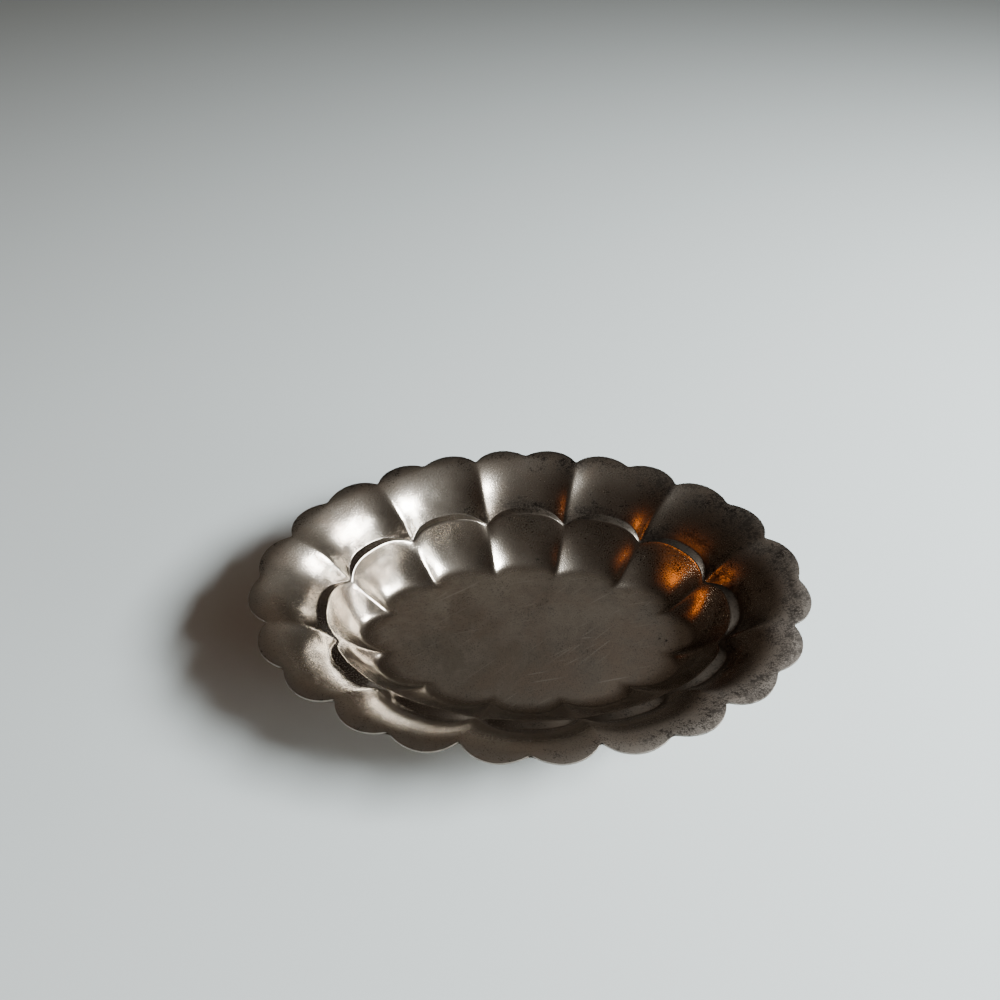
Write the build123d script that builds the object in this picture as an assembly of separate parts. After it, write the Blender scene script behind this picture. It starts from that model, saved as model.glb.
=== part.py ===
from build123d import *
from math import atan2, cos, sin
import os

# An oval dish pressed from one metal sheet, on a soldered oval foot.
# Origin: centre of the foot's resting face. +X runs along the dish, +Z is up.
# All lengths are in millimetres.

# Sheet and scalloped rim. The notches lie on the rim oval, the scallops stand out from it.
sheet = 0.8
rim_half_length = 85.0
rim_half_width = 60.2
notches = 24
crease_notch_inset = 2.2
scallop_rise = 4.9
notch_lip = 0.8

# Heights over the floor. A crease runs between two flutes, a crown is the middle of one flute.
rim_depth = 29.3
corner_crease_height = 12.6
corner_crown_height = 16.1
ledge_crease_height = 12.1
ledge_crown_height = 16.1

# Widths of the walls and of the ledge in plan, at the oval's ends and at its sides
upper_crease_end = 18.2
upper_crease_side = 15.9
upper_crown_end = 15.1
upper_crown_side = 13.4
ledge_crease_width = 0.5
ledge_crown_end = 3.4
ledge_crown_side = 3.4
lower_crease_end = 13.3
lower_crease_side = 13.3
lower_crown_end = 10.0
lower_crown_side = 12.2

# How each wall bends: where the tangents at its foot and at its top meet, as shares
# of its width and of its rise, and how far along the bend its rings lie
upper_crease_bend_shares = (0.3, 0.84)
upper_crown_bend_shares = (0.42, 0.74)
lower_crease_bend_shares = (0.4, 0.5)
lower_crown_bend_shares = (0.55, 0.2)
upper_ring_shares = (0.12, 0.26, 0.45, 0.7)
lower_ring_shares = (0.2, 0.4, 0.58, 0.73, 0.87)

# Foot: a flared band
foot_height = 2.5
foot_wall = 1.0
foot_flare = 1.2
foot_inset_end = 5.0
foot_inset_side = 4.5

floor_top = foot_height + sheet
rim_top = floor_top + rim_depth

# The notches stand at equal steps along the rim oval, and every ring keeps their angles.
rim_oval = Edge.make_ellipse(rim_half_length, rim_half_width)


def station(step):
    """Angle, in the oval's own measure, of the notch this many steps from the +X end."""
    notch = rim_oval.position_at((step % notches) / notches)
    return atan2(notch.Y / rim_half_width, notch.X / rim_half_length)


def on_oval(oval, step):
    """The point of an oval, given as half-length, half-width and height, at one notch."""
    half_length, half_width, height = oval
    angle = station(step)
    return Vector(half_length * cos(angle), half_width * sin(angle), height)


def rim_inwards(inset):
    """The oval that lies so far inside the rim oval, level with it."""
    return (rim_half_length - inset, rim_half_width - inset, rim_top)


def inwards(oval, end, side, height_over_floor):
    """The next oval down the wall, in by its width at the ends and at the sides."""
    half_length, half_width, _ = oval
    return (half_length - end, half_width - side, floor_top + height_over_floor)


def bent_wall(foot, top, bend_shares, ring_shares):
    """The ovals of a wall that bends smoothly from its foot up to its top, both included."""
    width_bend, rise_bend = bend_shares
    ovals = [foot]
    for share in ring_shares:
        bending = 2 * share * (1 - share)
        width_share = bending * width_bend + share**2
        rise_share = bending * rise_bend + share**2
        half_length = foot[0] + (top[0] - foot[0]) * width_share
        half_width = foot[1] + (top[1] - foot[1]) * width_share
        height = foot[2] + (top[2] - foot[2]) * rise_share
        ovals.append((half_length, half_width, height))
    return [*ovals, top]


# Ovals through the creases, from the rim down to the floor
rim_crease = rim_inwards(crease_notch_inset + notch_lip)
corner_crease = inwards(rim_crease, upper_crease_end, upper_crease_side, corner_crease_height)
ledge_crease = inwards(corner_crease, ledge_crease_width, ledge_crease_width, ledge_crease_height)
floor_crease = inwards(ledge_crease, lower_crease_end, lower_crease_side, 0)

# Ovals through the crowns of the flutes, from the rim down to the floor
rim_crown = rim_inwards(notch_lip)
corner_crown = inwards(rim_crown, upper_crown_end, upper_crown_side, corner_crown_height)
ledge_crown = inwards(corner_crown, ledge_crown_end, ledge_crown_side, ledge_crown_height)
floor_crown = inwards(ledge_crown, lower_crown_end, lower_crown_side, 0)

# The sheet's inner face, from the floor up to the rim, with the ledge between its two walls
creases = [
    *bent_wall(floor_crease, ledge_crease, lower_crease_bend_shares, lower_ring_shares),
    *bent_wall(corner_crease, rim_crease, upper_crease_bend_shares, upper_ring_shares),
]
crowns = [
    *bent_wall(floor_crown, ledge_crown, lower_crown_bend_shares, lower_ring_shares),
    *bent_wall(corner_crown, rim_crown, upper_crown_bend_shares, upper_ring_shares),
]


def underside(ovals):
    """The same ovals on the outer face, moved by the sheet's thickness square to it."""
    laid = []
    for i, (half_length, half_width, height) in enumerate(ovals):
        lean = 0
        if 0 < i < len(ovals) - 1:
            low, high = ovals[i - 1], ovals[i + 1]
            run = (high[0] - low[0] + high[1] - low[1]) / 2
            lean = atan2(high[2] - low[2], run)
        out = sheet * sin(lean)
        laid.append((half_length + out, half_width + out, height - sheet * cos(lean)))
    return laid


def ring(crease, crown):
    """Arcs from crease to crease, each bulging out through the crown of its flute."""
    ends = [on_oval(crease, step) for step in range(-1, notches, 2)]
    middles = [on_oval(crown, step) for step in range(0, notches, 2)]
    return Wire([ThreePointArc(ends[i], middles[i], ends[i + 1]) for i in range(len(middles))])


def fluted_bowl(crease_ovals, crown_ovals):
    """The solid inside one face of the sheet, laid in bands from ring to ring."""
    return Solid.make_loft([ring(*pair) for pair in zip(crease_ovals, crown_ovals)], ruled=True)


def scallop_outline():
    """Round scallops from notch to notch, with every second notch drawn in at a crease."""
    insets = [crease_notch_inset if step % 2 else 0 for step in range(notches + 1)]
    tips = [on_oval(rim_inwards(inset), step) for step, inset in enumerate(insets)]
    return Face(Wire([SagittaArc(tips[i], tips[i + 1], -scallop_rise) for i in range(notches)]))


def make_tray_body():
    """The pressed sheet: a fluted bowl with a ledge half way up, under a scalloped lip."""
    lip = extrude(scallop_outline(), -sheet)
    return fluted_bowl(underside(creases), underside(crowns)) + lip - fluted_bowl(creases, crowns)


def make_foot_ring():
    """The flared band, which meets the underside of the floor inside its creases."""
    top_half_length = floor_crease[0] - foot_inset_end
    top_half_width = floor_crease[1] - foot_inset_side

    def oval(offset, height):
        return Pos(0, 0, height) * Ellipse(top_half_length + offset, top_half_width + offset)

    outside = loft([oval(foot_flare, 0), oval(0, foot_height)], ruled=True)
    inside = loft([oval(foot_flare - foot_wall, 0), oval(-foot_wall, foot_height)], ruled=True)
    return outside - inside


os.makedirs("parts", exist_ok=True)
for name, solid in (("tray_body", make_tray_body()), ("foot_ring", make_foot_ring())):
    export_step(solid, f"parts/{name}.step")
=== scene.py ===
# %% [markdown]
# # A pressed oval dish in tarnished silver plate
#
# The real dish is one thin sheet, stamped into twelve hollow flutes, with a narrow ledge half
# way up its wall and a scalloped brim. It stands on a low soldered foot. Bright metal has no
# look of its own: nearly all that the eye reads is what its curves reflect. So this lesson
# spends its effort on smooth, exact surfaces, then on the tarnish that dulls them, and last
# on the few soft lights that the metal mirrors.

# %% Load the measured frame
import math

import bmesh
import bpy
from mathutils import Matrix, Quaternion, Vector, noise


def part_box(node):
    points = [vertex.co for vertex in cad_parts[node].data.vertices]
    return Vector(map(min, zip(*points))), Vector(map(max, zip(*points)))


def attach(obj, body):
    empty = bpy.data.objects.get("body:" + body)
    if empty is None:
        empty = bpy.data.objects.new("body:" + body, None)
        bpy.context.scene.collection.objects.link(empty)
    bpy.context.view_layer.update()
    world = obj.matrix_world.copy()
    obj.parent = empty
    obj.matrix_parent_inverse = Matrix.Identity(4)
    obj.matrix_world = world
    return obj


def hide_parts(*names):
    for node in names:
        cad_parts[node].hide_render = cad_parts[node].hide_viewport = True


mm = 0.001
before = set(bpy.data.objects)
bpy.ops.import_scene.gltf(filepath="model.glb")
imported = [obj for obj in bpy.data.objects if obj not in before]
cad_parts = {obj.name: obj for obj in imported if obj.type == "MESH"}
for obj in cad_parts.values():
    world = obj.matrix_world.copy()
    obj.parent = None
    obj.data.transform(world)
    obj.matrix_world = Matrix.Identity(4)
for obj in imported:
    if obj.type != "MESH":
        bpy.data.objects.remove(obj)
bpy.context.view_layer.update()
body_low, body_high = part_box("tray_body")
_, foot_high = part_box("foot_ring")
body_size = [round(x / mm, 1) for x in body_high - body_low]
print(len(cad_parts), "CAD nodes, dish", body_size, "mm")

# %% [markdown]
# ## Sizes
#
# Each level of the dish is an oval, kept as half its length, half its width and its height.
# Two families of ovals describe the whole wall: one runs through the creases between the
# flutes, the other through their crowns, the middles of the flutes. The heights come from
# the frame, so the mesh lands on the measured dish.

# %% Name the sizes
sheet = 0.8 * mm
rim_half_length = 85.0 * mm
rim_half_width = 60.2 * mm
crease_notch_inset = 2.2 * mm
scallop_rise = 4.9 * mm
notch_lip = 0.8 * mm
brim_roll = 0.6 * mm
rim_top = body_high.z
floor_top = body_low.z + sheet
wall_top = rim_top - brim_roll
flutes = 12
notches = 2 * flutes
print("rim at", round(rim_top / mm, 2), "mm, floor at", round(floor_top / mm, 2), "mm")


# %% Lay out the ovals
def inside_rim(inset, height):
    """The oval that lies so far inside the rim oval."""
    return Vector((rim_half_length - inset, rim_half_width - inset, height))


def step_in(outer, end, side, over_floor):
    """The next oval down the wall, in by so many millimetres at its ends and at its sides."""
    return Vector((outer.x - end * mm, outer.y - side * mm, floor_top + over_floor * mm))


rim_crease = inside_rim(crease_notch_inset + notch_lip, wall_top)
corner_crease = step_in(rim_crease, end=18.2, side=15.9, over_floor=12.6)
ledge_crease = step_in(corner_crease, end=0.5, side=0.5, over_floor=12.1)
floor_crease = step_in(ledge_crease, end=13.3, side=13.3, over_floor=0)

rim_crown = inside_rim(notch_lip, wall_top)
corner_crown = step_in(rim_crown, end=15.1, side=13.4, over_floor=16.1)
ledge_crown = step_in(corner_crown, end=3.4, side=3.4, over_floor=16.1)
floor_crown = step_in(ledge_crown, end=10.0, side=12.2, over_floor=0)
print("floor:", [round(2 * x / mm, 1) for x in floor_crown.xy], "mm")

# %% [markdown]
# ## From the floor to the rim
#
# A wall leaves its foot along one tangent and reaches its top along another, so its section
# is a simple bend through the point where the two tangents meet. That point is given as a
# share of the wall's width and of its rise. Rings are laid along the bend. The ones close to
# the ledge sit near together, because a subdivided surface turns most tightly where its
# rings are close, and the ledge of a stamped dish is crisp.

# %% Bend the walls
lower_ring_shares = (0.2, 0.38, 0.55, 0.71, 0.86, 0.965)
ledge_ring_shares = (0.14, 0.86)
upper_ring_shares = (0.025, 0.13, 0.3, 0.5, 0.7, 0.87)


def bent_wall(foot, top, bend, shares):
    """Ovals along a wall that bends from its foot to its top, both left out."""
    width_bend, rise_bend = bend
    span = top - foot
    ovals = []
    for share in shares:
        bending = 2 * share * (1 - share)
        across = bending * width_bend + share**2
        up = bending * rise_bend + share**2
        ovals.append(foot + Vector((span.x * across, span.y * across, span.z * up)))
    return ovals


def whole_wall(floor, ledge, corner, rim, lower_bend, upper_bend):
    """One family of ovals, from the floor over the ledge to the rim."""
    return [
        floor,
        *bent_wall(floor, ledge, lower_bend, lower_ring_shares),
        ledge,
        *[ledge.lerp(corner, share) for share in ledge_ring_shares],
        corner,
        *bent_wall(corner, rim, upper_bend, upper_ring_shares),
        rim,
    ]


creases = whole_wall(
    floor_crease,
    ledge_crease,
    corner_crease,
    rim_crease,
    lower_bend=(0.48, 0.42),
    upper_bend=(0.34, 0.77),
)
crowns = whole_wall(
    floor_crown,
    ledge_crown,
    corner_crown,
    rim_crown,
    lower_bend=(0.52, 0.2),
    upper_bend=(0.42, 0.71),
)
print(len(creases), "rings from the floor to the rim")

# %% [markdown]
# ## Round the dish
#
# The notches of the rim stand at equal steps along the rim oval, which isn't at equal
# angles, so the oval is walked in small steps to find them. Between two creases a ring
# bulges out through the crown of its flute. A power of 2 would give it the bow of a circle.
# The real flutes are a little fuller, flat in the middle and steep beside the creases, which
# shows in how narrow their highlights are. The columns beside a crease stand close, so the
# subdivision rounds the fold to a narrow ridge that catches one thin line of light.


# %% Find the notches
def walk_oval(half_length, half_width, count, fine_steps=7200):
    """Angles, in the oval's own measure, of points at equal steps along the oval."""
    angles = [2 * math.pi * i / fine_steps for i in range(fine_steps + 1)]
    points = [Vector((half_length * math.cos(a), half_width * math.sin(a))) for a in angles]
    walked = [0.0]
    for i in range(fine_steps):
        walked.append(walked[-1] + (points[i + 1] - points[i]).length)
    found = []
    i = 0
    for step in range(count):
        while walked[i] < walked[-1] * step / count:
            i += 1
        found.append(angles[i])
    return found


stations = walk_oval(rim_half_length, rim_half_width, notches)
print("notches at", [round(math.degrees(a), 1) for a in stations], "degrees")

# %% Lay a fluted ring
middle_column = 0.5
column_shares = (0.0, 0.045, 0.14, 0.285, 0.435, middle_column, 0.565, 0.715, 0.86, 0.955)
flute_fullness = 3.3


def on_oval(oval, step):
    """The point of an oval at one notch, counted from the +X end."""
    angle = stations[step % notches]
    return Vector((oval.x * math.cos(angle), oval.y * math.sin(angle), oval.z))


def fluted_ring(crease, crown):
    """The points of one ring, flute by flute, each starting at a crease."""
    points = []
    for flute in range(flutes):
        start, end = on_oval(crease, 2 * flute - 1), on_oval(crease, 2 * flute + 1)
        bulge = on_oval(crown, 2 * flute) - (start + end) / 2
        for share in column_shares:
            out = 1 - abs(2 * share - 1) ** flute_fullness
            points.append(start.lerp(end, share) + bulge * out)
    return points


wall_rings = [fluted_ring(crease, crown) for crease, crown in zip(creases, crowns)]
print(len(wall_rings), "rings of", len(wall_rings[0]), "points")

# %% [markdown]
# ## The scalloped edge
#
# On the real dish a die cut the brim into round scallops, two to a flute, and every second
# notch lies a little further in, where a crease runs out. Each scallop is an arc from notch
# to notch. The arcs stand out a third of a millimetre too far, because the subdivision
# later draws a sharp edge in by about as much.


# %% Lay the edge
def arc(start, middle, end, share):
    """The point at a share of the way along the arc from start to end through middle."""
    chord = end - start
    reach = middle - start
    normal = chord.cross(reach)
    from_chord = normal.cross(chord) * reach.length_squared
    from_reach = reach.cross(normal) * chord.length_squared
    centre = start + (from_chord + from_reach) / (2 * normal.length_squared)
    first, halfway, last = start - centre, middle - centre, end - centre
    sweep = first.angle(halfway) + halfway.angle(last)
    return centre + Quaternion(first.cross(halfway).normalized(), sweep * share) @ first


def scalloped_ring(rise):
    """The points of the brim's edge: one round scallop on each half of a flute."""
    crease = inside_rim(crease_notch_inset, rim_top)
    crown = inside_rim(0, rim_top)
    points = []
    for flute in range(flutes):
        tips = (
            on_oval(crease, 2 * flute - 1),
            on_oval(crown, 2 * flute),
            on_oval(crease, 2 * flute + 1),
        )
        for share in column_shares:
            half = 0 if share < middle_column else 1
            start, end = tips[half], tips[half + 1]
            outward = (end - start).cross(Vector((0, 0, 1))).normalized()
            middle = (start + end) / 2 + outward * rise
            points.append(arc(start, middle, end, 2 * share - half))
    return points


edge_overshoot = 0.35 * mm
edge_ring = scalloped_ring(scallop_rise + edge_overshoot)
brim_spans = list(zip(wall_rings[-1], edge_ring))
widest = max((far - near).xy.length for near, far in brim_spans)
print("brim at most", round(widest / mm, 1), "mm wide")

# %% [markdown]
# ## Build the cage
#
# The cage is laid ring by ring: a capped circle starts the floor, and each further ring is
# an extrusion of the last one, moved to its place. That way every face shares its corners
# with its neighbours, and the surface has no seam.


# %% Helpers that grow and place rings
def grow_ring(bm, ring, places):
    """Extrudes a closed ring of vertices to new places and returns the new ring."""
    edges = [bm.edges.get((ring[i - 1], ring[i])) for i in range(len(ring))]
    made = bmesh.ops.extrude_edge_only(bm, edges=edges)["geom"]
    fresh = {part for part in made if isinstance(part, bmesh.types.BMVert)}
    grown = []
    for vert, place in zip(ring, places):
        twin = next(e.other_vert(vert) for e in vert.link_edges if e.other_vert(vert) in fresh)
        twin.co = place
        grown.append(twin)
    return grown


def toward_centre(places, share):
    """The same ring drawn in on the flat floor, to a share of its size."""
    return [Vector((p.x * share, p.y * share, p.z)) for p in places]


def brim_places(share):
    """A ring on the brim, which rolls from the wall's slope to level at the widest scallops."""
    places = []
    for near, far in brim_spans:
        place = near.lerp(far, share)
        left = 1 - (place - near).xy.length / widest
        place.z = rim_top - brim_roll * left**2
        places.append(place)
    return places


def turn(point):
    """The angle of a point round the dish."""
    return math.atan2(point.y, point.x)


# %% Lay the floor
floor_ring_shares = (0.4, 0.75, 0.9)
floor_ring = wall_rings[0]
columns = len(floor_ring)
mask_names = ("brim", "corner", "ledge", "ridge", "fold", "floor")

cage = bmesh.new()
sharp_corner = cage.verts.layers.float.new("crease_vert")
sharp_edge = cage.edges.layers.float.new("crease_edge")
masks = {name: cage.verts.layers.float.new(name) for name in mask_names}
bmesh.ops.create_circle(cage, cap_ends=True, cap_tris=True, segments=columns, radius=1)
hub = max(cage.verts, key=lambda v: len(v.link_edges))
ring = sorted((v for v in cage.verts if v != hub), key=lambda v: turn(v.co))
hub.co = Vector((0, 0, floor_top))

# The circle's vertices are sorted from -X round, and the places start at a crease near +X.
places = toward_centre(floor_ring, floor_ring_shares[0])
first = min(range(columns), key=lambda i: turn(places[i]))
ring = ring[-first:] + ring[:-first]
for vert, place in zip(ring, places):
    vert.co = place
rows = [ring]
for share in floor_ring_shares[1:]:
    rows.append(grow_ring(cage, rows[-1], toward_centre(floor_ring, share)))
print("floor:", columns, "columns,", len(rows), "rings")

# %% Grow the walls and the brim
lip_ring_shares = (0.4, 0.8)
for places in (*wall_rings, *[brim_places(share) for share in lip_ring_shares]):
    rows.append(grow_ring(cage, rows[-1], places))
bmesh.ops.recalc_face_normals(cage, faces=cage.faces)
if hub.normal.z < 0:
    bmesh.ops.reverse_faces(cage, faces=cage.faces)
cage.normal_update()
print("inner face:", len(rows), "rings")

# %% [markdown]
# ## Give the sheet its thickness
#
# The real sheet was cut to its scallops after pressing, so the cut is square, with the
# sharpness just taken off. The cage goes over the edge in four close rings, which keep that
# corner tight, then back down the outer face, each ring moved square to the sheet by its
# thickness. The rings that keep the ledge crisp inside have no partner outside, because a
# stamped sheet turns its corners more softly on its back. A subdivision then turns the whole
# cage into one smooth closed skin.

# %% Find the outer face
first_wall = len(floor_ring_shares)
ridge_row = first_wall + len(lower_ring_shares) + 1
corner_row = ridge_row + len(ledge_ring_shares) + 1
top_row = corner_row + len(upper_ring_shares) + 1
inside_only = (first_wall - 1, ridge_row + 1, corner_row - 1, corner_row + 1)
backed = [row for i, row in enumerate(rows) if i not in inside_only]
outer_places = [[v.co - v.normal * sheet for v in row] for row in reversed(backed)]
print("outer face:", len(outer_places), "rings")

# %% Grow the edge and the outer face
edge_break = 0.12 * mm
last_ring_share = 0.5
down = Vector((0, 0, -1))


def sunk(places, depth):
    return [place + down * depth for place in places]


edge_top = brim_places(1)
edge_in = [p - (p - v.co).normalized() * edge_break for p, v in zip(edge_top, rows[-1])]
edge_rows = [grow_ring(cage, rows[-1], edge_in)]
for places in (
    edge_top,
    sunk(edge_top, edge_break),
    sunk(edge_top, sheet - edge_break),
    sunk(edge_top, sheet),
    sunk(edge_in, sheet),
):
    edge_rows.append(grow_ring(cage, edge_rows[-1], places))
last = edge_rows[-1]
for places in outer_places:
    last = grow_ring(cage, last, places)
last = grow_ring(cage, last, toward_centre([v.co for v in last], last_ring_share))
bmesh.ops.pointmerge(cage, verts=last, merge_co=hub.co + down * sheet)
print("cage:", len(cage.faces), "faces")

# %% [markdown]
# ## Where wear and tarnish gather
#
# Polishing reaches the high places and never the low ones, and coins rub only the floor. So
# the mesh carries six masks, for the brim, the dark inner corner, the level ledge, its worn
# ridge, the folds between flutes and the floor. The finishes read them. A mask is a number on
# each vertex of the cage, which the subdivision spreads smoothly.

# %% Mark the brim, corner, ledge, ridge, folds and floor
row_masks = {
    "brim": {
        top_row - 2: 0.2,
        top_row - 1: 0.4,
        top_row: 0.55,
        top_row + 1: 0.7,
        top_row + 2: 0.85,
    },
    "corner": {
        ridge_row + 1: 0.45,
        corner_row - 1: 0.7,
        corner_row: 1.0,
        corner_row + 1: 1.0,
        corner_row + 2: 0.45,
    },
    "ledge": {ridge_row + 1: 1.0, corner_row - 1: 1.0},
    "ridge": {ridge_row - 1: 0.6, ridge_row: 1.0, ridge_row + 1: 0.6},
    "floor": {i: 1.0 for i in range(first_wall)},
}
for name, strengths in row_masks.items():
    for row, strength in strengths.items():
        for vert in rows[row]:
            vert[masks[name]] = strength
hub[masks["floor"]] = 1.0
for row in edge_rows:
    for vert in row:
        vert[masks["brim"]] = 1.0
for row in rows[first_wall + 1 : top_row]:
    for i in range(0, columns, len(column_shares)):
        row[i][masks["fold"]] = 1.0
print("masks:", ", ".join(masks))

# %% [markdown]
# ## Sharp notches
#
# The die left each notch a clean V. A subdivision would round it away, so the short upright
# edges at the notches are creased, which tells the subdivision to leave them sharp. Close
# columns would do it too, but would pinch the brim beside them.

# %% Keep the notches sharp
tips_of_flute = (0, column_shares.index(middle_column))
cut_rows = edge_rows[1:5]
for low, high in zip(cut_rows, cut_rows[1:]):
    for i in range(columns):
        if i % len(column_shares) in tips_of_flute:
            low[i][sharp_corner] = 1.0
            high[i][sharp_corner] = 1.0
            cage.edges.get((low[i], high[i]))[sharp_edge] = 1.0
bmesh.ops.recalc_face_normals(cage, faces=cage.faces)


# %% Turn the cage into a skin
def make_piece(bm, name):
    """A new object with the mesh of a bmesh, which is used up."""
    mesh = bpy.data.meshes.new(name)
    bm.to_mesh(mesh)
    bm.free()
    piece = bpy.data.objects.new(name, mesh)
    bpy.context.scene.collection.objects.link(piece)
    return piece


def subdivide(piece, levels):
    """Replaces a piece's mesh by its subdivision."""
    smooth = piece.modifiers.new("smooth", "SUBSURF")
    smooth.levels = levels
    smooth.render_levels = levels
    bpy.context.view_layer.update()
    finished = piece.evaluated_get(bpy.context.evaluated_depsgraph_get())
    mesh = bpy.data.meshes.new_from_object(finished)
    piece.modifiers.clear()
    piece.data = mesh


dish = make_piece(cage, "dish")
subdivide(dish, levels=2)
print("skin:", len(dish.data.polygons), "faces")

# %% [markdown]
# ## Marks of use
#
# A thin sheet never keeps the shape of its die exactly. The metal is a little wavy, the press
# puckered it where two flutes crowd into the ledge, and handling left shallow dents. They
# are far smaller than the sheet is thick, yet a mirror shows them at once, as the zigzag
# and ringed highlights near the left end of the real dish. They are pushed into the mesh
# along the sheet's own normal, by the same amount on both faces.

# %% Name the marks
wave_height, wave_length = 0.05 * mm, 17 * mm
crumple_height, crumple_length = 0.15 * mm, 4.4 * mm
pucker_height, pucker_length = 0.075 * mm, 2.7 * mm
pucker_reach = 6.5 * mm
pucker_sway, pucker_sway_length = 1.2, 4 * mm
dent_depth = 0.16 * mm
far_reaches = 3


def on_crease(step, share=0.0):
    """A point on the crease at a notch, from the ledge (0) towards the rim (1)."""
    return on_oval(ledge_crease, step).lerp(on_oval(rim_crease, step), share)


puckers = [on_crease(step, share=0.25) for step in (9, 11, 13, 15)]

# The middle and the reach of each dent. A factor draws its middle in from the wall.
dents = [
    (on_oval(ledge_crown, 8) * 0.93, 2.2 * mm),
    (on_crease(7, share=0.05), 1.6 * mm),
    (on_oval(ledge_crease, 7) * 0.95, 1.8 * mm),
    (on_oval(floor_crown, 17) * 0.9, 3.0 * mm),
]
print(len(puckers), "puckers and", len(dents), "dents")


# %% How far the sheet stands out
def ramp(value, none_at, full_at):
    """0 up to one value, 1 from another on, straight between."""
    return min(1, max(0, (value - none_at) / (full_at - none_at)))


def crumpled(place):
    """How strongly the walls are crumpled: most at the left end, not on the floor or brim."""
    rise = (place.z - floor_top) / (rim_top - floor_top)
    to_left = -place.x / rim_half_length
    off_floor = ramp(rise, none_at=0, full_at=0.15)
    off_brim = ramp(rise, none_at=0.95, full_at=0.7)
    return off_floor * off_brim * ramp(to_left, none_at=0.15, full_at=0.6)


def push(place):
    """How far the sheet stands out of its true shape at a place."""
    stand = wave_height * noise.noise(place / wave_length)
    stand += crumple_height * crumpled(place) * noise.noise(place / crumple_length)
    for centre in puckers:
        distance = (place - centre).length
        near = distance / pucker_reach
        if near < far_reaches:
            sway = pucker_sway * noise.noise(place / pucker_sway_length)
            phase = 2 * math.pi * distance / pucker_length + sway
            stand += pucker_height * math.exp(-(near**2)) * math.sin(phase)
    for centre, radius in dents:
        near = (place - centre).xy.length / radius
        if near < far_reaches:
            stand -= dent_depth * math.exp(-(near**2))
    return stand


# %% Mark the dish
# Both faces move the same way. The push fades out round the cut edge, whose normal is level.
edge_fade = 4
sharp_angle = math.radians(50)
normals = [vert.normal.copy() for vert in dish.data.vertices]
for vert, normal in zip(dish.data.vertices, normals):
    facing = max(-1, min(1, normal.z * edge_fade))
    vert.co += normal * push(vert.co) * facing
for polygon in dish.data.polygons:
    polygon.use_smooth = True
dish.data.set_sharp_from_angle(angle=sharp_angle)
dish.data.calc_loop_triangles()
print("dish:", len(dish.data.loop_triangles), "triangles")
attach(dish, "root")
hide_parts("tray_body")

# %% [markdown]
# ## The foot
#
# The dish was soldered onto a low flared band, so that it stands level and its hot or wet
# floor stays off the table. It shows only from the side or below. Its section is walked once
# round as a chain of small steps, every step is an oval ring, and the solder is the small
# hollow curve where the band meets the floor.

# %% Name the foot's section
foot_inset_end, foot_inset_side = 5.0 * mm, 4.5 * mm
foot_half_length = floor_crease.x - foot_inset_end
foot_half_width = floor_crease.y - foot_inset_side
foot_columns = 96

# Each step is millimetres out from the band's top edge, and a share of the foot's height.
foot_section = (
    (1.20, 0.12),
    (0.62, 0.50),
    (0.12, 0.84),
    (0.20, 0.96),
    (0.50, 1.00),
    (-1.40, 1.00),
    (-1.12, 0.96),
    (-0.92, 0.84),
    (-0.38, 0.50),
    (0.20, 0.12),
    (0.34, 0.00),
    (1.06, 0.00),
)


def foot_ring(offset, share):
    turns = [2 * math.pi * i / foot_columns for i in range(foot_columns)]
    length, width = foot_half_length + offset * mm, foot_half_width + offset * mm
    return [Vector((length * math.cos(t), width * math.sin(t), foot_high.z * share)) for t in turns]


# %% Grow the foot
# The vertex on +X comes first, even where rounding puts its angle a hair under 0.
just_under_a_turn = 2 * math.pi - 1e-5
same_place = 0.001 * mm
band = bmesh.new()
bmesh.ops.create_circle(band, segments=foot_columns, radius=1)
ring = sorted(band.verts, key=lambda v: turn(v.co) % just_under_a_turn)
for vert, place in zip(ring, foot_ring(*foot_section[0])):
    vert.co = place
for section in (*foot_section[1:], foot_section[0]):
    ring = grow_ring(band, ring, foot_ring(*section))
bmesh.ops.remove_doubles(band, verts=band.verts, dist=same_place)
bmesh.ops.recalc_face_normals(band, faces=band.faces)
foot = make_piece(band, "foot")
subdivide(foot, levels=1)
for polygon in foot.data.polygons:
    polygon.use_smooth = True
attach(foot, "root")
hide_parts("foot_ring")
print("foot:", len(foot.data.polygons), "faces")


# %% [markdown]
# ## Finishes
#
# Silver goes brown, then black, where nobody rubs it. Three effects make the finish, each a
# node group that gives out a mask: a film in soft clouds, specks where the film has broken
# through, and hair scratches from years of coins and cloths. All of them are worked out from
# the object's own coordinates, in metres, so a scale of 40 means features 25 mm across.
# Pictures of real tarnish would do as well, but they need a flat layout of the bowl, and a
# pattern in space has no seams and no stretched places. Long formulas in nodes are hard to
# read, so a small class lets plain sums stand for them.


# %% Sums that become nodes
class Field:
    """A value that varies over the surface. Arithmetic with it adds Math nodes."""

    def __init__(self, tree, socket):
        self.tree = tree
        self.socket = socket

    def calc(self, operation, first, second):
        node = put(self.tree, "Math", {0: first, 1: second}, operation=operation)
        return Field(self.tree, node.outputs[0])

    def __add__(self, other):
        return self.calc("ADD", self, other)

    def __mul__(self, other):
        return self.calc("MULTIPLY", self, other)

    def __sub__(self, other):
        return self.calc("SUBTRACT", self, other)

    def __rsub__(self, other):
        return self.calc("SUBTRACT", other, self)

    def __pow__(self, other):
        return self.calc("POWER", self, other)


def join(tree, value, socket):
    """Links a socket to a field or to another socket, or sets it to a plain value."""
    value = value.socket if isinstance(value, Field) else value
    if isinstance(value, bpy.types.NodeSocket):
        tree.links.new(value, socket)
    else:
        socket.default_value = value


def put(tree, kind, inputs=None, **settings):
    """Adds a node, sets its options, and joins or sets its inputs."""
    node = tree.nodes.new("ShaderNode" + kind)
    for key, value in settings.items():
        setattr(node, key, value)
    for socket, value in (inputs or {}).items():
        join(tree, value, node.inputs[socket])
    return node


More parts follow.
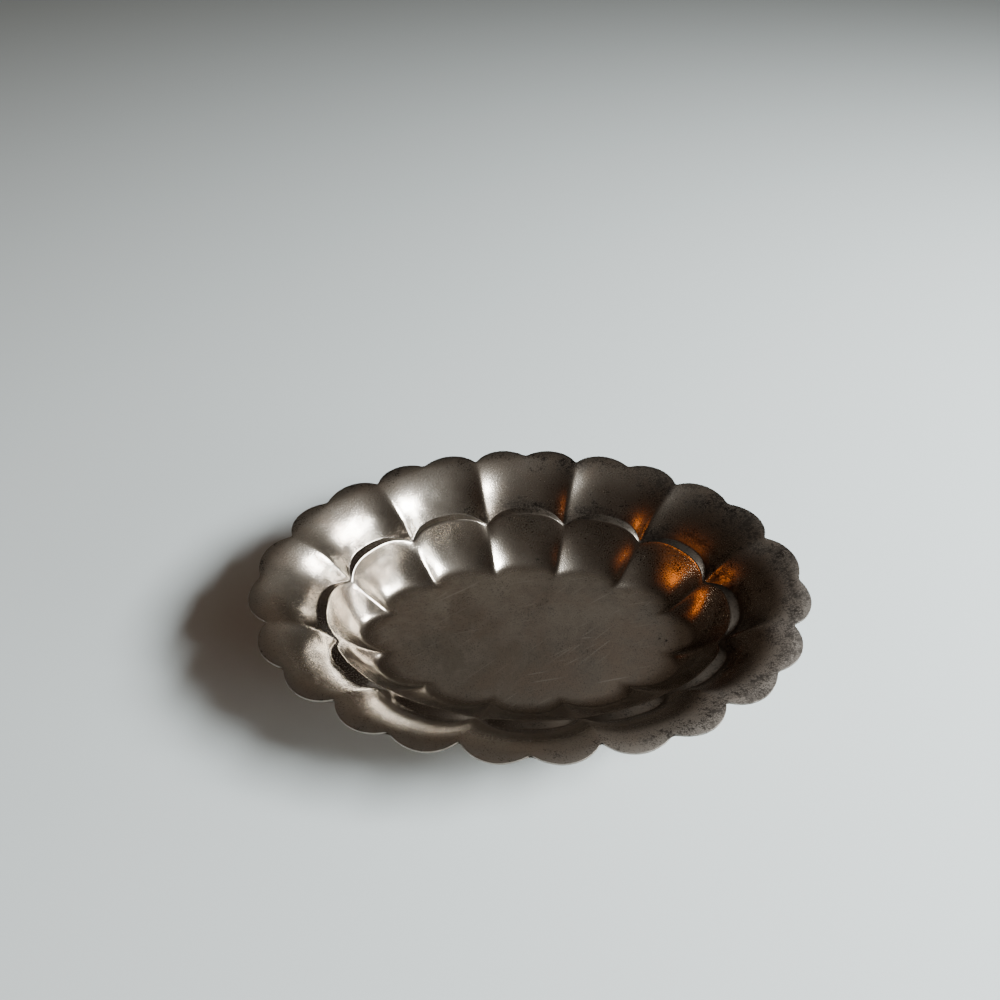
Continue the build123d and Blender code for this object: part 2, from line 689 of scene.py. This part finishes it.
# %% Helpers for fields
def largest(first, *others):
    for other in others:
        first = first.calc("MAXIMUM", first, other)
    return first


def clamped(value):
    return Field(value.tree, put(value.tree, "Clamp", {0: value}).outputs[0])


def step_up(value, none_at, full_at):
    """0 at one value and 1 at another, smooth between and even beyond them."""
    inputs = {0: value, 1: none_at, 2: full_at}
    node = put(value.tree, "MapRange", inputs, interpolation_type="SMOOTHSTEP")
    return Field(value.tree, node.outputs[0])


def blend(share, first, second):
    """The first colour where the share is 0, the second where it is 1."""
    node = put(share.tree, "Mix", {0: share, 6: first, 7: second}, data_type="RGBA")
    return Field(share.tree, node.outputs[2])


def noise_at(place, scale, detail=2.0, rough=0.5, twist=0.0):
    texture = {"Scale": scale, "Detail": detail, "Roughness": rough, "Distortion": twist}
    node = put(place.tree, "TexNoise", {"Vector": place, **texture})
    return Field(place.tree, node.outputs["Fac"])


# %% Helpers for effects
def effect(name, work_out, *numbers):
    """A node group that works out a mask from a place and some named numbers."""
    group = bpy.data.node_groups.new(name, "ShaderNodeTree")
    group.interface.new_socket(name="Place", in_out="INPUT", socket_type="NodeSocketVector")
    for number in numbers:
        group.interface.new_socket(name=number, in_out="INPUT", socket_type="NodeSocketFloat")
    group.interface.new_socket(name="Mask", in_out="OUTPUT", socket_type="NodeSocketFloat")
    given = group.nodes.new("NodeGroupInput").outputs
    mask = work_out(*[Field(group, given[socket]) for socket in ("Place", *numbers)])
    join(group, mask, group.nodes.new("NodeGroupOutput").inputs["Mask"])
    return group


def mask_of(group, place, **numbers):
    """The mask that an effect gives at a place."""
    node = put(place.tree, "Group", {"Place": place, **numbers}, node_tree=group)
    return Field(place.tree, node.outputs["Mask"])


# %% [markdown]
# ### The film
#
# The first tarnish is a thin brown film with soft borders. Two noises make it: large clouds,
# and smaller patches that fray their edges. The amount moves the bar that the noise has to
# pass, so one number makes the film spread or shrink.

# %% Film: soft clouds of tarnish
patch_share = 0.28
even_amount = 0.5
amount_pull = 0.5


def film_mask(place, amount):
    clouds = noise_at(place, scale=38, detail=5, rough=0.62, twist=0.4)
    patches = noise_at(place, scale=170, detail=4, rough=0.65, twist=0.2)
    mixed = clouds * (1 - patch_share) + patches * patch_share
    return step_up(mixed + (amount - even_amount) * amount_pull, none_at=0.36, full_at=0.64)


film = effect("tarnish film", film_mask, "Amount")
print("film:", len(film.nodes), "nodes")

# %% [markdown]
# ### The specks
#
# Where the plate is old, black specks a few tenths of a millimetre across break through, thick
# along the brim and in the corner over the ledge. Painting them by hand would take days. A
# fine noise is cut at a high bar instead, and a coarser noise lowers the bar in places, so
# that the specks gather in clusters as real ones do.

# %% Specks: small dark spots, thicker where the film is worse
clustering = 0.35
speck_bar = 0.83
speck_bar_drop = 0.38
speck_softness = 0.06


def speck_mask(place, amount, scale):
    grain = noise_at(place, scale, detail=3, rough=0.7)
    clusters = noise_at(place, scale=260) - 0.5
    bar = speck_bar - amount * speck_bar_drop
    return step_up(grain + clusters * clustering - bar, none_at=0.0, full_at=speck_softness)


specks = effect("tarnish specks", speck_mask, "Amount", "Scale")
print("specks:", len(specks.nodes), "nodes")

# %% [markdown]
# ### The scratches
#
# Coins and cloths leave hair lines on the floor of the dish. A noise that is squeezed one way
# and stretched the other turns into lines. Each of three turned copies gives one direction,
# because people wipe a tray with only a few habits of hand.

# %% Scratches: long thin hairs in a few directions
hair_turns = (31, 40, 12)
hair_shifts = (0.0, 3.1, 7.7)
hair_size = (20 * mm, 0.9 * mm, 20 * mm)


def hair_mask(place, amount):
    hairs = []
    for degrees, shift in zip(hair_turns, hair_shifts):
        turned = {"Rotation": (0, 0, math.radians(degrees)), "Location": (shift, 0, 0)}
        inputs = {"Vector": place, **turned, "Scale": hair_size}
        spun = put(place.tree, "Mapping", inputs, vector_type="TEXTURE")
        spun_place = Field(place.tree, spun.outputs["Vector"])
        line = noise_at(spun_place, scale=1.0, detail=1, rough=0.4, twist=0.3)
        hairs.append(step_up(line, none_at=0.68, full_at=0.80))
    return largest(*hairs) * amount


scratches = effect("hair scratches", hair_mask, "Amount")
print("scratches:", len(scratches.nodes), "nodes")


# %% [markdown]
# ### Tarnished silver plate
#
# Under the tarnish the plate is still a fair mirror in a dark room: what looks like dark metal
# is a bright metal that shows a dark wall. So the clean colour is light, the film takes about
# two fifths of the light away and warms it, and the roughness rises where the film is thick.
# The material could be one long formula. It is worked out in steps instead: where the metal
# is old, what is dark, and then the colour, the gloss and the relief. The weights in the
# tables were set against the photo.


# %% Weigh the parts of the surface
def weigh(at, weights, everywhere=0.0):
    """An even amount, plus some fields of the surface by their weights."""
    total = everywhere
    for name, weight in weights.items():
        total = at[name] * weight + total
    return total


# %% [markdown]
# #### Where the metal is old, and where shade is painted
#
# The right end and the back of the real dish are the most tarnished, and the brim at the right
# front is rubbed matt. The walls at the front left and the left end lie in shade, and shade is
# painted on them as a thicker film and an even dark layer. Smooth steps along X and Y give
# these regions. The masks of the mesh give the rest, and the foot, which has no such masks,
# reads them as 0.

# %% Read the surface
worse_weights = {"right": 0.42, "back": 0.12}
# The painted shade side's weight paints shade: it thickens the film on the walls that lie in shade.
film_weights = {"worse": 1.0, "brim": 0.15, "painted_shade_side": 0.45}
film_everywhere = 0.3
left_end_share = 0.55


def read_surface(tree):
    """The place, the masks, the regions and the film, as fields of one material."""
    at = {"place": Field(tree, put(tree, "TexCoord").outputs["Object"])}
    for name in mask_names:
        node = put(tree, "Attribute", attribute_name=name)
        at[name] = Field(tree, node.outputs["Fac"])
    axes = put(tree, "SeparateXYZ", {0: at["place"]}).outputs
    x, y = Field(tree, axes["X"]), Field(tree, axes["Y"])
    at["right"] = step_up(x, none_at=-30 * mm, full_at=80 * mm)
    at["back"] = step_up(y, none_at=-20 * mm, full_at=60 * mm)
    front = step_up(y, none_at=30 * mm, full_at=-20 * mm)
    left_end = step_up(x, none_at=-35 * mm, full_at=-65 * mm)
    at["on_brim"] = step_up(at["brim"], none_at=0.0, full_at=0.4)
    at["matt"] = at["right"] * front * at["on_brim"]
    # Painted shade falls on the walls at the front left and the left end, which lie in shade.
    at["painted_shade_side"] = largest(front * (1 - at["right"]), left_end * left_end_share)
    at["worse"] = weigh(at, worse_weights)
    # The film is tarnish, and on the painted shade side it is painted shade as well.
    amount = weigh(at, film_weights, film_everywhere)
    at["film"] = mask_of(film, at["place"], Amount=amount)
    return at


# %% [markdown]
# #### What is dark
#
# Black gathers as specks, as a line in the corner over the ledge, as a line round the brim,
# as fine pits in patches, and as broad soft stains, and the ledge itself is darker. Where two
# of them meet, the darker one shows, so most are joined by taking the larger. The low walls of
# the painted shade side also get an even dark layer of painted shade, kept apart because it
# leaves the metal glossy.

# %% Crowd the specks
brim_power = 1.3
brim_crowd_weights, brim_crowd = {"worse": 1.0}, 0.4
corner_crowd_weights, corner_crowd = {"right": 0.6}, 0.5
spread_weights, spread_everywhere = {"film": 0.48, "worse": 0.25}, 0.14
painted_shade_side_thinning = 0.4
dot_scale, dot_strength = 2100.0, 0.85
spot_scale, spot_share = 900.0, 0.84
speck_strength = 0.82


def speck_dark(at):
    """Small dots and larger spots, thick on the brim and in the corner over the ledge."""
    near_edge = at["brim"] ** brim_power * weigh(at, brim_crowd_weights, brim_crowd)
    in_corner = at["corner"] * weigh(at, corner_crowd_weights, corner_crowd)
    spread = weigh(at, spread_weights, spread_everywhere)
    crowd = clamped(near_edge + in_corner + spread)
    crowd = clamped(crowd - at["painted_shade_side"] * painted_shade_side_thinning)
    dots = mask_of(specks, at["place"], Amount=crowd, Scale=dot_scale)
    spots = mask_of(specks, at["place"], Amount=crowd * spot_share, Scale=spot_scale)
    return largest(dots * dot_strength, spots) * speck_strength


# %% Draw the dark lines
corner_line_weights, corner_line = {"right": 0.5}, 0.12
ledge_dark_weights, ledge_dark_everywhere = {"right": 0.6}, 0.1
back_rim, right_rim, least_rim = 0.85, 0.6, 0.35
cut_edge_strength = 0.5


def line_dark(at):
    """The corner's line, the rim's line, a darker ledge and the cut edge."""
    in_corner = step_up(at["corner"], none_at=0.3, full_at=0.95)
    corner = in_corner * weigh(at, corner_line_weights, corner_line)
    old_rim = largest(at["back"] * back_rim, at["right"] * right_rim, least_rim)
    rim = step_up(at["brim"], none_at=0.5, full_at=1.0) * old_rim
    # The ledge is made darker, most at the right end.
    ledge_dark = at["ledge"] * weigh(at, ledge_dark_weights, ledge_dark_everywhere)
    cut_edge = step_up(at["brim"], none_at=0.93, full_at=1.0) * cut_edge_strength
    return largest(corner, rim, ledge_dark, cut_edge)


# %% Add pits and stains
pit_strength = 0.5
pits_everywhere = 0.4
stain_strength = 0.28
floor_stain = 0.08
scratch_weights, scratch_everywhere = {"floor": 0.85}, 0.15
painted_shade_veil_strength = 0.45


def add_marks(at):
    """Adds to the surface what is dark, what is scratched, and the painted shade on the low walls.
    """
    grain = noise_at(at["place"], scale=2300, detail=3, rough=0.7)
    clouds = noise_at(at["place"], scale=120, detail=3, rough=0.6)
    pits = step_up(grain, none_at=0.5, full_at=0.68)
    patches = step_up(clouds, none_at=0.25, full_at=0.7)
    pits = pits * (patches + pits_everywhere) * pit_strength
    broad = noise_at(at["place"], scale=75, detail=6, rough=0.7, twist=0.3)
    stain = step_up(broad, none_at=0.5, full_at=0.72) * stain_strength + at["floor"] * floor_stain
    at["dark"] = clamped(largest(speck_dark(at), line_dark(at), pits) + stain)

    lines = mask_of(scratches, at["place"], Amount=1.0)
    at["hair"] = lines * weigh(at, scratch_weights, scratch_everywhere)
    low_wall = 1 - largest(at["on_brim"], at["floor"])
    # Painted shade: an even dark layer on the low walls of the painted shade side.
    at["painted_shade_veil"] = at["painted_shade_side"] * low_wall * painted_shade_veil_strength


# %% [markdown]
# #### Colour, gloss and relief
#
# The colour starts clean, and each layer is laid over the last one as a painter would: film,
# worn ridges, the matt brim, the even dark layer of painted shade, the dark, and the bright
# hairs of scratches on top.
# Gloss follows the same fields. The relief is a fine skin like orange peel, which breaks up
# the mirror, and it is bump and not mesh, because it is finer than the faces.

# %% Lay the colours
clean_warm = (0.66, 0.62, 0.55, 1)
clean_dim = (0.58, 0.54, 0.47, 1)
film_grey = (0.38, 0.345, 0.295, 1)
film_brown = (0.40, 0.34, 0.28, 1)
worn_silver = (0.76, 0.72, 0.65, 1)
matt_silver = (0.78, 0.74, 0.68, 1)
# Black for tarnish, and for the even dark layer of painted shade.
tarnish_and_painted_shade_black = (0.035, 0.030, 0.026, 1)
scratch_silver = (0.80, 0.77, 0.71, 1)
worn_cover, matt_cover, scratch_cover = 0.35, 0.6, 0.35


def layered_colour(at):
    """Adds the worn places to the surface and returns its colour."""
    hue = noise_at(at["place"], scale=55, detail=3, rough=0.6, twist=0.8)
    clean = blend(hue, clean_warm, clean_dim)
    dull = blend(step_up(hue, none_at=0.35, full_at=0.65), film_grey, film_brown)
    at["worn"] = step_up(largest(at["ridge"], at["fold"]), none_at=0.55, full_at=1.0)
    # The film colour is tarnish, and on the painted shade side it is painted shade as well.
    colour = blend(at["film"], clean, dull)
    for cover, layer in (
        (at["worn"] * worn_cover, worn_silver),
        (at["matt"] * matt_cover, matt_silver),
        # Painted shade on the low walls at the front left and the left end.
        (at["painted_shade_veil"], tarnish_and_painted_shade_black),
        (at["dark"], tarnish_and_painted_shade_black),
        (at["hair"] * scratch_cover, scratch_silver),
    ):
        colour = blend(cover, colour, layer)
    return colour


# %% Gloss and relief
least_rough = 0.205
rough_weights = {
    "film": 0.04,
    "painted_shade_veil": -0.12,
    "handled": 0.08,
    "dark": 0.15,
    "matt": 0.2,
    "worn": -0.05,
    "ledge": 0.05,
}
peel_height, ripple_height = 2.4, 0.6
relief_weights = {"hair": -0.10, "dark": -0.08}
relief_depth = 0.02 * mm


def roughness(at):
    at["handled"] = largest(at["brim"], at["floor"])
    return weigh(at, rough_weights, least_rough)


def relief(at):
    """The bumped normal of the surface."""
    peel = noise_at(at["place"], scale=1700, detail=3, rough=0.65) * peel_height
    ripple = noise_at(at["place"], scale=210) * ripple_height
    height = weigh(at, relief_weights, peel + ripple)
    bump = put(at["place"].tree, "Bump", {"Height": height, "Distance": relief_depth})
    return Field(at["place"].tree, bump.outputs["Normal"])


# %% Put the silver together
def new_material(name):
    material = bpy.data.materials.new(name)
    material.use_nodes = True
    return material, material.node_tree, material.node_tree.nodes["Principled BSDF"]


def tarnished_silver(name):
    material, tree, skin = new_material(name)
    at = read_surface(tree)
    add_marks(at)
    join(tree, layered_colour(at), skin.inputs["Base Color"])
    join(tree, roughness(at), skin.inputs["Roughness"])
    join(tree, relief(at), skin.inputs["Normal"])
    skin.inputs["Metallic"].default_value = 1.0
    return material


for piece in (dish, foot):
    piece.data.materials.clear()
    piece.data.materials.append(tarnished_silver("tarnished_silver_" + piece.name))
    print(piece.name, "has", len(piece.data.materials[0].node_tree.nodes), "nodes")

# %% [markdown]
# ## The table
#
# The dish stands on a pale cloth. A plain matt square does for it: what matters is that it
# takes the long soft shadow and lights the outside of the dish from below.

# %% Table
table_half_width = 3
ground = bmesh.new()
bmesh.ops.create_grid(ground, x_segments=1, y_segments=1, size=table_half_width)
table = make_piece(ground, "table")
cloth, _, skin = new_material("pale_floor")
skin.inputs["Base Color"].default_value = (0.61, 0.68, 0.69, 1)
skin.inputs["Roughness"].default_value = 0.9
table.data.materials.append(cloth)
print("table:", 2 * table_half_width, "m wide")

# %% [markdown]
# ## The room
#
# Bright metal mirrors the whole room, so the room is half of its look. This one is dark and
# brown on the left, grey in the middle and light on the right, where the window is, and a
# little darker in front than behind. A picture of a real room could be wrapped round the
# scene. A ramp of six colours along X is enough, because this metal blurs what it mirrors.

# %% Room
left_wall, right_wall = (0.035, 0.022, 0.014, 1), (0.30, 0.29, 0.27, 1)
between_walls = {
    0.25: (0.045, 0.034, 0.026, 1),
    0.5: (0.100, 0.081, 0.065, 1),
    0.62: (0.112, 0.092, 0.075, 1),
    0.75: (0.18, 0.162, 0.14, 1),
}
front_strength, back_strength = 0.62, 1.08

world = bpy.data.worlds.new("room")
bpy.context.scene.world = world
world.use_nodes = True
tree = world.node_tree
direction = put(tree, "TexCoord").outputs["Generated"]
axes = put(tree, "SeparateXYZ", {"Vector": direction}).outputs
share = put(tree, "MapRange", {"Value": axes["X"], "From Min": -1}).outputs["Result"]
room = put(tree, "ValToRGB", {"Fac": share})
room.color_ramp.elements[0].color = left_wall
room.color_ramp.elements[1].color = right_wall
for position, colour in between_walls.items():
    room.color_ramp.elements.new(position).color = colour
strengths = {"To Min": front_strength, "To Max": back_strength}
strength = put(tree, "MapRange", {"Value": axes["Y"], "From Min": -1, **strengths})
background = tree.nodes["Background"].inputs
join(tree, room.outputs["Color"], background["Color"])
join(tree, strength.outputs["Result"], background["Strength"])
print("room:", len(room.color_ramp.elements), "colours from left to right")

# %% [markdown]
# ## The lights
#
# One near window on the right makes the long highlights on the left flank of each flute, and
# the soft-edged shadow on the left. A wide dim wall round it and a low bright patch under it
# fill the highlights out. On the left stands a small warm lamp with a dim glow, which the
# right-hand flutes show as deep orange sparks. Rectangles are used, because a lamp's shape
# shows in metal.


# %% Soft lights
def soft_light(name, azimuth, elevation, distance, size, power, colour):
    """A rectangle of light that faces the dish. Azimuth is turned from +X towards +Y."""
    data = bpy.data.lights.new(name, "AREA")
    data.shape = "RECTANGLE"
    data.size, data.size_y = size
    data.energy = power
    data.color = colour
    lamp = bpy.data.objects.new(name, data)
    bpy.context.scene.collection.objects.link(lamp)
    a, e = math.radians(azimuth), math.radians(elevation)
    toward = Vector((math.cos(a) * math.cos(e), math.sin(a) * math.cos(e), math.sin(e)))
    lamp.location = toward * distance
    lamp.rotation_mode = "QUATERNION"
    lamp.rotation_quaternion = toward.to_track_quat("Z", "Y")


soft_light(
    "window",
    azimuth=-15,
    elevation=40,
    distance=0.9,
    size=(0.35, 0.25),
    power=23,
    colour=(0.99, 1.0, 1.0),
)
soft_light(
    "bright wall",
    azimuth=-8,
    elevation=34,
    distance=1.3,
    size=(1.5, 1.1),
    power=1.2,
    colour=(1.0, 0.96, 0.88),
)
soft_light(
    "low window",
    azimuth=-25,
    elevation=15,
    distance=1.0,
    size=(0.34, 0.24),
    power=4,
    colour=(1.0, 0.99, 0.95),
)
soft_light(
    "warm lamp",
    azimuth=-158,
    elevation=13,
    distance=1.2,
    size=(0.15, 0.12),
    power=1.1,
    colour=(1.0, 0.26, 0.02),
)
soft_light(
    "lamp glow",
    azimuth=-160,
    elevation=18,
    distance=1.2,
    size=(0.8, 0.6),
    power=0.22,
    colour=(1.0, 0.22, 0.06),
)

# %% [markdown]
# ## The camera
#
# The photo was taken from in front and above, close enough that the near brim looks larger
# than the far one. Its place and turn were found by fitting the notches of the rim to the
# photo, so the numbers are those of a hand-held camera: nearly level, never exactly.

# %% Camera
camera_place = Vector((-4.1, -157.8, 212.2)) * mm
camera_yaw = math.radians(1.54)
camera_pitch = math.radians(42.85)
camera_roll = math.radians(-0.93)
camera_data = bpy.data.cameras.new("camera")
camera_data.sensor_width = 36
camera_data.lens = 27.04
camera = bpy.data.objects.new("camera", camera_data)
bpy.context.scene.collection.objects.link(camera)
camera.matrix_world = (
    Matrix.Translation(camera_place)
    @ Matrix.Rotation(camera_yaw, 4, "Z")
    @ Matrix.Rotation(math.pi / 2 - camera_pitch, 4, "X")
    @ Matrix.Rotation(camera_roll, 4, "Z")
)
bpy.context.scene.camera = camera
print("camera", round(camera_place.length / mm), "mm from the middle of the foot")
